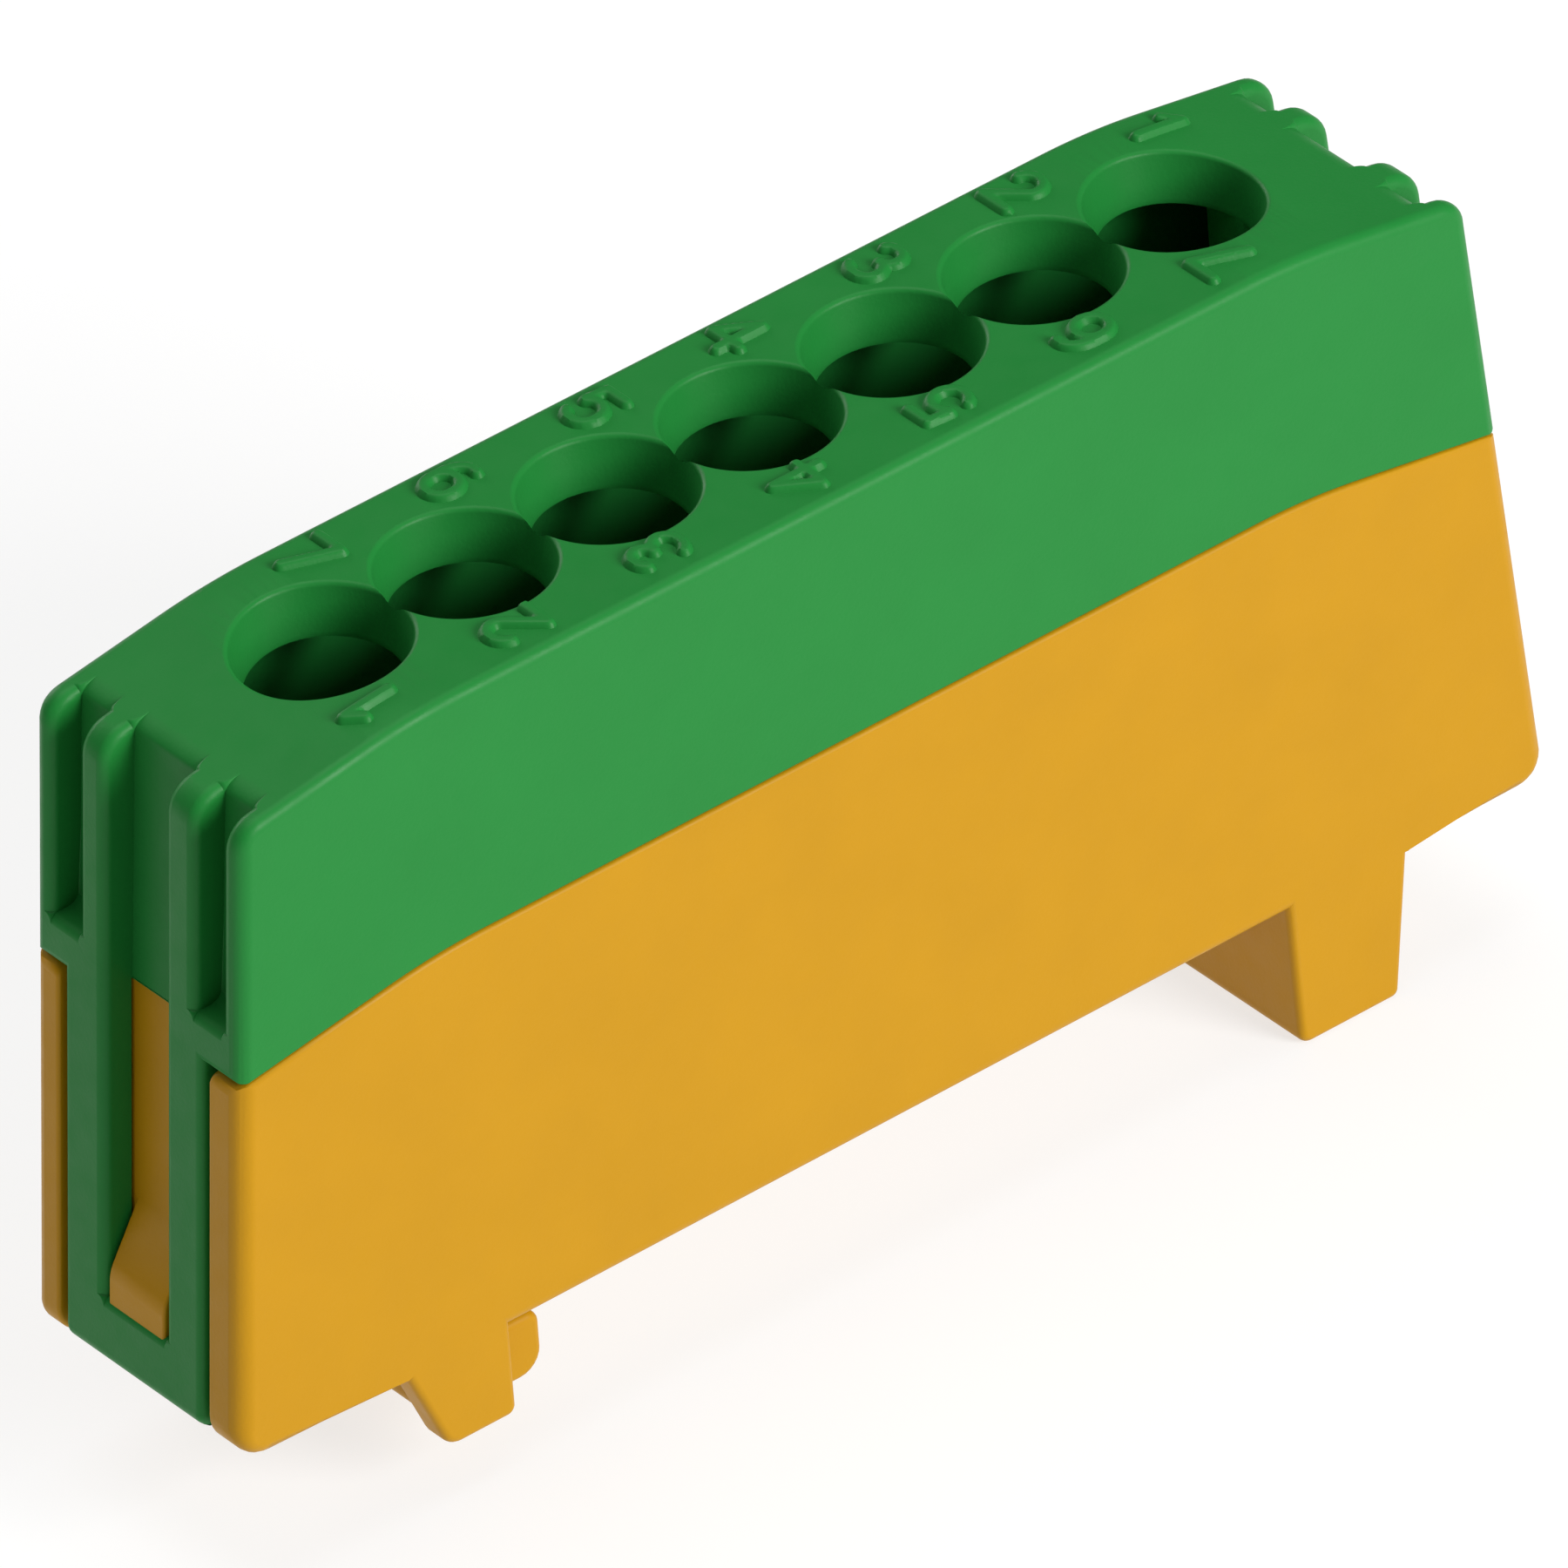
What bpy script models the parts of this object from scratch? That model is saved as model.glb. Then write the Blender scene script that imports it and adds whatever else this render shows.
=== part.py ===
"""Seven-way protective earth terminal block for a 35 mm DIN rail.

The block stands across the rail. X runs along the row of screws, Y along the rail, +Z away from it.
The origin is on the underside, midway between the two feet, where the rail's flanges seat.
"""

import math

import bmesh
import bpy

MM = 0.001

# Row of ways
WAYS = 7
PITCH = 6.35 * MM

# Outer form, shared by the base and the cap
DEPTH = 11.6 * MM
HALF_LENGTH = 29.7 * MM
END_DRAFT = math.tan(math.radians(5.1))
HEIGHT = 27.0 * MM
TOP_KNEE = 19.7 * MM
END_SLOPE = 0.16
KNEE_BLEND = 2.2 * MM
BOTTOM_ROUND = 1.3 * MM
END_ROUND = 1.3 * MM

# Seam between the base and the cap
SEAM_HEIGHT = 16.85 * MM
SEAM_KNEE = 19.5 * MM
SEAM_GAP = 0.2 * MM

# Base
FLOOR = 1.6 * MM
CAVITY_HALF_DEPTH = 3.8 * MM
SPIGOT_HALF_DEPTH = 4.4 * MM
SPIGOT_RISE = 1.15 * MM
SPIGOT_HALF_LENGTH = 25.4 * MM
END_RECESS = 1.4 * MM
END_WALL = 1.2 * MM
CHEEK_HALF_DEPTH = 4.1 * MM
RIB = 1.0 * MM

# Cap
CAP_TOP_WALL = 2.0 * MM
CAP_CAVITY_HALF_DEPTH = 4.7 * MM
CAP_END_WALL = 2.4 * MM
TONGUE = 1.1 * MM
TONGUE_HALF_DEPTH = 3.85 * MM
TONGUE_FOOT = 0.3 * MM
TONGUE_ROOT = 17.2 * MM
SLOT_HALF_DEPTH = 1.7 * MM
SLOT_FOOT = 2.9 * MM
SLOT_TOP = 15.85 * MM
FLUTE = 1.3 * MM
FLUTE_FOOT = 17.4 * MM
FLUTE_INNER = 3.3 * MM
FLUTE_OUTER = 5.0 * MM
RIM_RADIUS = 3.32 * MM
NECK_RADIUS = 2.86 * MM
CONE_DEPTH = 1.8 * MM

# Snap wedge on each end of the base
WEDGE_HALF_DEPTH = 1.45 * MM
WEDGE_FOOT = 3.1 * MM
WEDGE_CREST = 4.3 * MM
WEDGE_TOP = 7.0 * MM
WEDGE_SETBACK = 0.15 * MM

# Rail and feet
RAIL_HALF_WIDTH = 17.63 * MM
FLANGE_GAP = 1.35 * MM
LEFT_FOOT = 3.77 * MM
RIGHT_FOOT = 6.0 * MM
POST_INNER = 4.45 * MM
LIP_HALF_DEPTH = 2.2 * MM
LIP_REACH = 1.3 * MM
RELIEF = 0.4 * MM
RELIEF_MARGIN = 0.4 * MM

# Rail latch
LATCH_HALF_DEPTH = 4.2 * MM
LATCH_FOOT = 3.95 * MM
NOSE_TIP = -15.2 * MM
LATCH_TRAVEL = 2.6 * MM
GAP = 0.3 * MM
NECK_LOW = -19.9 * MM
NECK_HIGH = -18.2 * MM
NECK_HALF_DEPTH = 2.0 * MM

# Busbar
BAR_HALF_LENGTH = 22.6 * MM
BAR_HALF_DEPTH = 3.25 * MM
BAR_FOOT = 3.6 * MM
BAR_TOP = 14.2 * MM
WIRE_HEIGHT = 7.6 * MM
WIRE_RADIUS = 2.86 * MM
ENTRY_RADIUS = 2.9 * MM
BORE_RADIUS = 2.55 * MM

# Clamping screw and its pressure pad
SCREW_TRAVEL = 4.0 * MM
SHANK_RADIUS = 2.25 * MM
HEAD_RADIUS = 2.6 * MM
HEAD_HEIGHT = 2.0 * MM
DRIVER_SLOT_HALF_WIDTH = 0.45 * MM
DRIVER_SLOT_DEPTH = 1.0 * MM
PAD_RADIUS = 2.1 * MM
PAD_HEIGHT = 1.5 * MM
PAD_FOOT = 10.5 * MM
STUD_RADIUS = 1.0 * MM
SOCKET_RADIUS = 1.3 * MM
SOCKET_DEPTH = 0.8 * MM

FAR = 40 * MM
ROUND_SIDES = 40
ARC_STEPS = 3
KNEE_STEPS = 4


def clear_scene():
    for item in list(bpy.data.objects):
        bpy.data.objects.remove(item, do_unlink=True)


def plastic(name, color):
    return finish(name, color, roughness=0.42, metallic=0.0)


def metal(name, color):
    return finish(name, color, roughness=0.3, metallic=1.0)


def finish(name, color, roughness, metallic):
    """A plain Principled material."""
    material = bpy.data.materials.new(name)
    material.use_nodes = True
    shader = material.node_tree.nodes["Principled BSDF"]
    shader.inputs["Base Color"].default_value = (*color, 1)
    shader.inputs["Roughness"].default_value = roughness
    shader.inputs["Metallic"].default_value = metallic
    return material


# Outlines, in the XZ plane


def half_length(z):
    """Half the block's length at a height: the ends lean in towards the top."""
    return HALF_LENGTH - z * END_DRAFT


def crown(x, height, knee):
    """Height of a line that is level in the middle and falls past each knee."""
    past = abs(x) - knee
    if past <= -KNEE_BLEND:
        return height
    if past >= KNEE_BLEND:
        return height - END_SLOPE * past
    return height - END_SLOPE * (past + KNEE_BLEND) ** 2 / (4 * KNEE_BLEND)


def crown_end(height, knee, inset=0.0):
    """The point where a crown line meets the right-hand end, or a line set in from it."""
    x = half_length(height) - inset
    for _ in range(8):
        x = half_length(crown(x, height, knee)) - inset
    return x, crown(x, height, knee)


def crown_line(height, knee, inset=0.0):
    """The crown line from the right-hand end to the left-hand one."""
    end, z = crown_end(height, knee, inset)
    bend = [knee + KNEE_BLEND * (1 - 2 * i / KNEE_STEPS) for i in range(KNEE_STEPS + 1)]
    right = [(end, z)] + [(x, crown(x, height, knee)) for x in bend]
    left = [(-x, z) for x, z in reversed(right)]
    return right + left


def rounded(corners):
    """An outline whose corners (x, z, radius) are replaced by arcs."""
    points = []
    count = len(corners)
    for i, (x, z, radius) in enumerate(corners):
        if not radius:
            points.append((x, z))
            continue
        before, after = corners[i - 1], corners[(i + 1) % count]
        points += corner_arc((x, z), before[:2], after[:2], radius)
    return points


def corner_arc(corner, before, after, radius):
    """Points of the arc of this radius that touches both sides of a corner."""
    ux, uz = unit(corner, before)
    vx, vz = unit(corner, after)
    half = math.acos(max(-1.0, min(1.0, ux * vx + uz * vz))) / 2
    reach = radius / math.tan(half)
    middle = math.hypot(ux + vx, uz + vz)
    away = radius / math.sin(half) / middle
    centre = (corner[0] + (ux + vx) * away, corner[1] + (uz + vz) * away)
    start = (corner[0] + ux * reach, corner[1] + uz * reach)
    first = math.atan2(start[1] - centre[1], start[0] - centre[0])
    turn = math.pi - 2 * half
    if ux * vz - uz * vx > 0:
        turn = -turn
    angles = [first + turn * i / ARC_STEPS for i in range(ARC_STEPS + 1)]
    return [(centre[0] + radius * math.cos(a), centre[1] + radius * math.sin(a)) for a in angles]


def unit(start, end):
    length = math.hypot(end[0] - start[0], end[1] - start[1])
    return (end[0] - start[0]) / length, (end[1] - start[1]) / length


def circle(x, z, radius):
    turns = [2 * math.pi * i / ROUND_SIDES for i in range(ROUND_SIDES)]
    return [(x + radius * math.cos(a), z + radius * math.sin(a)) for a in turns]


def end_band(side, outer, inner, low, high):
    """The slanted strip between two distances in from an end, from one height to another."""
    return [
        (side * (half_length(low) - outer), low),
        (side * (half_length(high) - outer), high),
        (side * (half_length(high) - inner), high),
        (side * (half_length(low) - inner), low),
    ]


def mirrored(outline):
    return [(-x, z) for x, z in outline]


# Solids


def prism(mesh, outline, y_low, y_high):
    """Adds an XZ outline extruded along Y to a mesh."""
    area = sum(a[0] * b[1] - b[0] * a[1] for a, b in zip(outline, outline[1:] + outline[:1]))
    if area < 0:
        outline = outline[::-1]
    near = [mesh.verts.new((x, y_low, z)) for x, z in outline]
    far = [mesh.verts.new((x, y_high, z)) for x, z in outline]
    mesh.faces.new(near)
    mesh.faces.new(far[::-1])
    for i in range(len(outline)):
        j = (i + 1) % len(outline)
        mesh.faces.new((near[j], near[i], far[i], far[j]))


def block(mesh, x, y, z):
    """Adds a box, given its range on each axis."""
    prism(mesh, [(x[0], z[0]), (x[1], z[0]), (x[1], z[1]), (x[0], z[1])], y[0], y[1])


def turned(mesh, profile, x=0.0):
    """Adds a profile of (radius, z), from the bottom up, turned about a vertical axis."""
    rings = []
    for radius, z in profile:
        turns = [2 * math.pi * i / ROUND_SIDES for i in range(ROUND_SIDES)]
        rings.append([mesh.verts.new((x + radius * math.cos(a), radius * math.sin(a), z)) for a in turns])
    mesh.faces.new(rings[0][::-1])
    mesh.faces.new(rings[-1])
    for low, high in zip(rings, rings[1:]):
        for i in range(ROUND_SIDES):
            j = (i + 1) % ROUND_SIDES
            mesh.faces.new((low[i], low[j], high[j], high[i]))


def solid(name, build, material=None, origin=(0.0, 0.0, 0.0)):
    """An object whose mesh the build function fills, with its origin at the given point."""
    work = bmesh.new()
    build(work)
    for vert in work.verts:
        vert.co.x -= origin[0]
        vert.co.y -= origin[1]
        vert.co.z -= origin[2]
    mesh = bpy.data.meshes.new(name)
    work.to_mesh(mesh)
    work.free()
    item = bpy.data.objects.new(name, mesh)
    item.location = origin
    bpy.context.scene.collection.objects.link(item)
    if material:
        mesh.materials.append(material)
    return item


def combine(target, operation, name, build):
    """Joins a shape to an object, or cuts it out, with a Boolean modifier."""
    tool = solid(name, build)
    tool.parent = target
    tool.matrix_parent_inverse = target.matrix_world.inverted()
    tool.hide_render = True
    tool.display_type = "WIRE"
    modifier = target.modifiers.new(name, "BOOLEAN")
    modifier.operation = operation
    modifier.solver = "EXACT"
    modifier.object = tool


def smooth(item):
    """Smooth shading with sharp edges kept where faces meet at more than 35 degrees."""
    item.data.shade_smooth()
    item.data.set_sharp_from_angle(angle=math.radians(35))


def ways():
    """Number and x of each way, from the left."""
    return [(i + 1, (i - (WAYS - 1) / 2) * PITCH) for i in range(WAYS)]


# Base


def base_body(mesh):
    corners = [(x, z, 0.0) for x, z in crown_line(SEAM_HEIGHT, SEAM_KNEE)]
    corners += [(-HALF_LENGTH, 0.0, BOTTOM_ROUND), (HALF_LENGTH, 0.0, BOTTOM_ROUND)]
    prism(mesh, rounded(corners), -DEPTH / 2, DEPTH / 2)


def base_spigot(mesh):
    """The thinner wall that rises inside the cap."""
    height = SEAM_HEIGHT + SPIGOT_RISE
    shoulder = (SPIGOT_HALF_LENGTH, crown(SPIGOT_HALF_LENGTH, height, SEAM_KNEE))
    right = [(SPIGOT_HALF_LENGTH, FLOOR), shoulder]
    outline = right + crown_line(height, SEAM_KNEE)[1:-1] + mirrored(right[::-1])
    prism(mesh, outline, -SPIGOT_HALF_DEPTH, SPIGOT_HALF_DEPTH)


def base_feet(mesh):
    """Two posts under the left side, and the full-width foot with its lip under the right."""
    root = FLOOR / 2
    post = rounded([
        (-22.23 * MM, root, 0),
        (-20.65 * MM, -LEFT_FOOT, 0.8 * MM),
        (-RAIL_HALF_WIDTH, -LEFT_FOOT, 0.35 * MM),
        (-RAIL_HALF_WIDTH, root, 0),
    ])
    prism(mesh, post, -DEPTH / 2, -POST_INNER)
    prism(mesh, post, POST_INNER, DEPTH / 2)
    foot = rounded([
        (RAIL_HALF_WIDTH, root, 0),
        (RAIL_HALF_WIDTH + 0.2 * MM, -RIGHT_FOOT, 0.5 * MM),
        (22.35 * MM, -RIGHT_FOOT, 0.3 * MM),
        (23.1 * MM, root, 0),
    ])
    prism(mesh, foot, -DEPTH / 2, DEPTH / 2)


def base_lip(mesh):
    """The fixed lip that goes under the rail's right-hand flange."""
    wall = RAIL_HALF_WIDTH + RIB / 2
    tip = RAIL_HALF_WIDTH - LIP_REACH
    lip = [
        (wall, -FLANGE_GAP),
        (tip, -FLANGE_GAP),
        (tip, -FLANGE_GAP - 0.6 * MM),
        (wall, -FLANGE_GAP - 2.0 * MM),
    ]
    prism(mesh, lip, -LIP_HALF_DEPTH, LIP_HALF_DEPTH)


def base_cavity(mesh):
    reach = END_RECESS + END_WALL
    foot = half_length(FLOOR) - reach
    top = half_length(FAR) - reach
    outline = [(-foot, FLOOR), (foot, FLOOR), (top, FAR), (-top, FAR)]
    prism(mesh, outline, -CAVITY_HALF_DEPTH, CAVITY_HALF_DEPTH)


def base_end_recesses(mesh):
    """The bays between the cheeks, where the cap's tongues hang."""
    for side in (-1, 1):
        bay = end_band(side, -FLUTE, END_RECESS, -FLUTE, SEAM_HEIGHT + FLUTE)
        prism(mesh, bay, -CHEEK_HALF_DEPTH, CHEEK_HALF_DEPTH)


def base_inner_ribs(mesh):
    """Ribs under the busbar, and a stop past each of its ends."""
    wall = (-CAVITY_HALF_DEPTH - RIB / 4, CAVITY_HALF_DEPTH + RIB / 4)
    for place in (-2.5, -1, 1, 2.5):
        middle = place * PITCH
        block(mesh, (middle - RIB / 2, middle + RIB / 2), wall, (FLOOR / 2, BAR_FOOT - GAP))
    for side in (-1, 1):
        near = side * (BAR_HALF_LENGTH + GAP)
        far = near + side * RIB
        block(mesh, (min(near, far), max(near, far)), wall, (BAR_FOOT, BAR_TOP - 4 * RIB))


def base_wedges(mesh):
    """The ramps that the slots in the cap's tongues snap over."""
    root = END_RECESS + RIB / 10
    for side in (-1, 1):
        ramp = [
            (side * (half_length(WEDGE_TOP) - root), WEDGE_TOP),
            (side * (half_length(WEDGE_CREST) - WEDGE_SETBACK), WEDGE_CREST),
            (side * (half_length(WEDGE_FOOT) - WEDGE_SETBACK), WEDGE_FOOT),
            (side * (half_length(WEDGE_FOOT) - root), WEDGE_FOOT),
        ]
        prism(mesh, ramp, -WEDGE_HALF_DEPTH, WEDGE_HALF_DEPTH)


def base_wire_entries(mesh):
    """Round holes in the back wall, in line with the busbar's wire holes."""
    for _, x in ways():
        prism(mesh, circle(x, WIRE_HEIGHT, ENTRY_RADIUS), CAVITY_HALF_DEPTH - RIB, DEPTH)


def base_latch_slot(mesh):
    x = (NECK_LOW - LATCH_TRAVEL - GAP, NECK_HIGH + GAP)
    half = NECK_HALF_DEPTH + GAP
    block(mesh, x, (-half, half), (-RIB, FLOOR + RIB))


def base_reliefs(mesh):
    """Shallow sinks in the seat above the latch's hook and above the fixed lip."""
    z = (-RIB / 10, RELIEF)
    x = (NECK_LOW - 2 * RELIEF_MARGIN, NOSE_TIP + RELIEF_MARGIN)
    half = LATCH_HALF_DEPTH + RELIEF_MARGIN / 2
    block(mesh, x, (-half, half), z)
    x = (RAIL_HALF_WIDTH - LIP_REACH - RELIEF_MARGIN, RAIL_HALF_WIDTH - RIB / 100)
    half = LIP_HALF_DEPTH + RELIEF_MARGIN
    block(mesh, x, (-half, half), z)


def make_base(material):
    base = solid("base", base_body, material)
    combine(base, "UNION", "base_spigot_shape", base_spigot)
    combine(base, "UNION", "base_feet_shape", base_feet)
    combine(base, "UNION", "base_lip_shape", base_lip)
    combine(base, "DIFFERENCE", "base_cavity_cutter", base_cavity)
    combine(base, "DIFFERENCE", "base_end_cutter", base_end_recesses)
    combine(base, "UNION", "base_rib_shape", base_inner_ribs)
    combine(base, "UNION", "base_wedge_shape", base_wedges)
    combine(base, "DIFFERENCE", "wire_entry_cutter", base_wire_entries)
    combine(base, "DIFFERENCE", "latch_slot_cutter", base_latch_slot)
    combine(base, "DIFFERENCE", "relief_cutter", base_reliefs)


# Cap


def cap_body(mesh):
    """The outer form above the seam, with rounded upper ends."""
    top = crown_line(HEIGHT, TOP_KNEE)
    seam = crown_line(SEAM_HEIGHT + SEAM_GAP, SEAM_KNEE)
    corners = [(x, z, 0.0) for x, z in top]
    corners[0] = (*top[0], END_ROUND)
    corners[-1] = (*top[-1], END_ROUND)
    corners += [(x, z, 0.0) for x, z in reversed(seam)]
    prism(mesh, rounded(corners), -DEPTH / 2, DEPTH / 2)


def cap_tongues(mesh):
    for side in (-1, 1):
        tongue = end_band(side, 0.0, TONGUE, TONGUE_FOOT, TONGUE_ROOT)
        prism(mesh, tongue, -TONGUE_HALF_DEPTH, TONGUE_HALF_DEPTH)


def cap_cavity(mesh):
    ceiling = crown_line(HEIGHT - CAP_TOP_WALL, TOP_KNEE, CAP_END_WALL)
    low = SEAM_HEIGHT - 2 * END_ROUND
    foot = half_length(low) - CAP_END_WALL
    outline = ceiling + [(-foot, low), (foot, low)]
    prism(mesh, outline, -CAP_CAVITY_HALF_DEPTH, CAP_CAVITY_HALF_DEPTH)


def cap_flutes(mesh):
    """Two flutes and the central recess in each end."""
    for side in (-1, 1):
        flute = end_band(side, -FLUTE, FLUTE, FLUTE_FOOT, HEIGHT + FLUTE)
        prism(mesh, flute, FLUTE_INNER, FLUTE_OUTER)
        prism(mesh, flute, -FLUTE_OUTER, -FLUTE_INNER)
        recess = end_band(side, -FLUTE, FLUTE, SLOT_TOP - FLUTE / 10, HEIGHT + FLUTE)
        prism(mesh, recess, -SLOT_HALF_DEPTH, SLOT_HALF_DEPTH)


def cap_slots(mesh):
    """The slot through each tongue, below the recess."""
    for side in (-1, 1):
        slot = end_band(side, -FLUTE, (TONGUE + FLUTE) / 2, SLOT_FOOT, SLOT_TOP)
        prism(mesh, slot, -SLOT_HALF_DEPTH, SLOT_HALF_DEPTH)


def cap_hold_downs(mesh):
    """Posts inside the cap that keep the busbar down at both ends."""
    for side in (-1, 1):
        near = side * (BAR_HALF_LENGTH - 0.7 * MM)
        far = near + side * RIB
        span = (min(near, far), max(near, far))
        block(mesh, span, (-2 * RIB, 2 * RIB), (BAR_TOP + GAP, HEIGHT - CAP_TOP_WALL / 2 - RIB / 2))


def driver_hole(mesh, x):
    """A cone that narrows to the neck, then a straight stretch down through the top wall."""
    slope = (RIM_RADIUS - NECK_RADIUS) / CONE_DEPTH
    profile = [
        (NECK_RADIUS, HEIGHT - CAP_TOP_WALL - RIB),
        (NECK_RADIUS, HEIGHT - CONE_DEPTH),
        (RIM_RADIUS + slope * RIB, HEIGHT + RIB),
    ]
    turned(mesh, profile, x)


def cap_driver_holes(first):
    """Every second driver hole, because neighbouring rims run into each other."""

    def build(mesh):
        for _, x in ways()[first::2]:
            driver_hole(mesh, x)

    return build


def make_cap(material):
    cap = solid("cap", cap_body, material)
    combine(cap, "UNION", "cap_tongue_shape", cap_tongues)
    combine(cap, "DIFFERENCE", "cap_cavity_cutter", cap_cavity)
    combine(cap, "UNION", "cap_hold_down_shape", cap_hold_downs)
    combine(cap, "DIFFERENCE", "cap_slot_cutter", cap_slots)
    combine(cap, "DIFFERENCE", "cap_flute_cutter", cap_flutes)
    combine(cap, "DIFFERENCE", "driver_hole_cutter_odd", cap_driver_holes(0))
    combine(cap, "DIFFERENCE", "driver_hole_cutter_even", cap_driver_holes(1))


# Rail latch


def latch_hook(mesh):
    back = NECK_LOW - GAP
    front = -RAIL_HALF_WIDTH - GAP
    hook = rounded([
        (back, -GAP, 0),
        (back, -LATCH_FOOT, 0.6 * MM),
        (NOSE_TIP, -LATCH_FOOT, 0.9 * MM),
        (NOSE_TIP, -FLANGE_GAP, 0.5 * MM),
        (front, -FLANGE_GAP, 0),
        (front, -GAP, 0),
    ])
    prism(mesh, hook, -LATCH_HALF_DEPTH, LATCH_HALF_DEPTH)


def latch_guide(mesh):
    """The neck through the base's floor, and the plate that keeps it there."""
    half = NECK_HALF_DEPTH
    block(mesh, (NECK_LOW, NECK_HIGH), (-half, half), (-RIB, FLOOR + RIB))


def latch_plate(mesh):
    half = NECK_HALF_DEPTH + RIB
    top = BAR_FOOT - GAP
    block(mesh, (NECK_LOW - RIB, NECK_HIGH + RIB), (-half, half), (FLOOR + GAP, top))


def make_latch(material):
    latch = solid("rail_latch", latch_hook, material)
    combine(latch, "UNION", "latch_neck_shape", latch_guide)
    combine(latch, "UNION", "latch_plate_shape", latch_plate)


# Busbar, screws and pads


def bar_body(mesh):
    block(mesh, (-BAR_HALF_LENGTH, BAR_HALF_LENGTH), (-BAR_HALF_DEPTH, BAR_HALF_DEPTH), (BAR_FOOT, BAR_TOP))


def bar_wire_holes(mesh):
    for _, x in ways():
        prism(mesh, circle(x, WIRE_HEIGHT, WIRE_RADIUS), -2 * BAR_HALF_DEPTH, 2 * BAR_HALF_DEPTH)


def bar_screw_holes(mesh):
    for _, x in ways():
        turned(mesh, [(BORE_RADIUS, WIRE_HEIGHT), (BORE_RADIUS, BAR_TOP + RIB)], x)


def make_busbar(material):
    bar = solid("busbar", bar_body, material)
    combine(bar, "DIFFERENCE", "wire_hole_cutter", bar_wire_holes)
    combine(bar, "DIFFERENCE", "screw_hole_cutter", bar_screw_holes)
    smooth(bar)


def pad_shape(x):
    """A disc with a socket for the screw's stud, turned as one closed profile."""
    top = PAD_FOOT + PAD_HEIGHT

    def build(mesh):
        turned(
            mesh,
            [
                (PAD_RADIUS, PAD_FOOT),
                (PAD_RADIUS, top),
                (SOCKET_RADIUS, top),
                (SOCKET_RADIUS, top - SOCKET_DEPTH),
            ],
            x,
        )

    return build


def screw_shape(x):
    stud_foot = PAD_FOOT + PAD_HEIGHT - SOCKET_DEPTH + GAP
    shank_foot = PAD_FOOT + PAD_HEIGHT + GAP
    head_foot = BAR_TOP + GAP + SCREW_TRAVEL
    head_top = head_foot + HEAD_HEIGHT
    chamfer = 0.3 * MM

    def build(mesh):
        turned(
            mesh,
            [
                (STUD_RADIUS, stud_foot),
                (STUD_RADIUS, shank_foot),
                (SHANK_RADIUS - chamfer, shank_foot),
                (SHANK_RADIUS, shank_foot + chamfer),
                (SHANK_RADIUS, head_foot),
                (HEAD_RADIUS, head_foot),
                (HEAD_RADIUS, head_top - chamfer),
                (HEAD_RADIUS - chamfer, head_top),
            ],
            x,
        )

    return build


def driver_slot(x):
    top = BAR_TOP + GAP + SCREW_TRAVEL + HEAD_HEIGHT

    def build(mesh):
        reach = 2 * HEAD_RADIUS
        half = DRIVER_SLOT_HALF_WIDTH
        block(mesh, (x - reach, x + reach), (-half, half), (top - DRIVER_SLOT_DEPTH, top + RIB))

    return build


def make_clamp(number, x, steel, pad_material):
    pad = solid(f"clamp_pad_{number}", pad_shape(x), pad_material, (x, 0.0, PAD_FOOT))
    smooth(pad)
    screw = solid(f"clamp_screw_{number}", screw_shape(x), steel, (x, 0.0, BAR_TOP))
    combine(screw, "DIFFERENCE", f"driver_slot_cutter_{number}", driver_slot(x))
    smooth(screw)


def main():
    clear_scene()
    yellow = plastic("yellow_plastic", (0.72, 0.36, 0.02))
    green = plastic("green_plastic", (0.03, 0.34, 0.09))
    brass = metal("brass", (0.72, 0.5, 0.2))
    zinc = metal("zinc_steel", (0.66, 0.67, 0.68))
    nickel = metal("pad_steel", (0.6, 0.58, 0.55))
    make_base(yellow)
    make_cap(green)
    make_latch(yellow)
    make_busbar(brass)
    for number, x in ways():
        make_clamp(number, x, zinc, nickel)


main()
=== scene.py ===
"""Looks of the seven-way protective earth terminal block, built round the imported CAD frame.

Shapes are worked out in millimetres and scaled to metres when they become objects. X runs along the row of
ways, Y along the rail and +Z away from it, with the origin on the underside between the feet.
"""

import math

import bmesh
import bpy
from mathutils import Matrix, Vector


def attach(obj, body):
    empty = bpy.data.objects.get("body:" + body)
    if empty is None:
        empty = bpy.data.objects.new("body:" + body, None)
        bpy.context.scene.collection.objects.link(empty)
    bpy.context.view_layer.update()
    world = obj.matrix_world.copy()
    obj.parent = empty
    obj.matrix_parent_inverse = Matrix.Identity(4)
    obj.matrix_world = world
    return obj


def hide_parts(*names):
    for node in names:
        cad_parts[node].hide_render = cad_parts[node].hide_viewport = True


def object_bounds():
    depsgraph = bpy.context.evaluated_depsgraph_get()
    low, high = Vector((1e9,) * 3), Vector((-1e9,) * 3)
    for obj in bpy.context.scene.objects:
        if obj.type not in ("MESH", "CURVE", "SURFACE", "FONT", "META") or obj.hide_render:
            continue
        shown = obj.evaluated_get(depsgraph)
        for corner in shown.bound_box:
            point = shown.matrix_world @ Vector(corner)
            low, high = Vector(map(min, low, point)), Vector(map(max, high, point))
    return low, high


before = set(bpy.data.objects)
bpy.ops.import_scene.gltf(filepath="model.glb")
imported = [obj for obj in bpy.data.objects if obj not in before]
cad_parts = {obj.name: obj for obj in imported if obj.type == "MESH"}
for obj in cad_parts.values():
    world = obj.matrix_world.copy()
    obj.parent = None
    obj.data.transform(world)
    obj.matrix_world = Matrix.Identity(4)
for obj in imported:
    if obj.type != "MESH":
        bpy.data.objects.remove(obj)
CAD_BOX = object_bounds()

MM = 0.001
WAYS = 7
PITCH = 6.35
WAY_X = [(i - (WAYS - 1) / 2) * PITCH for i in range(WAYS)]

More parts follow.
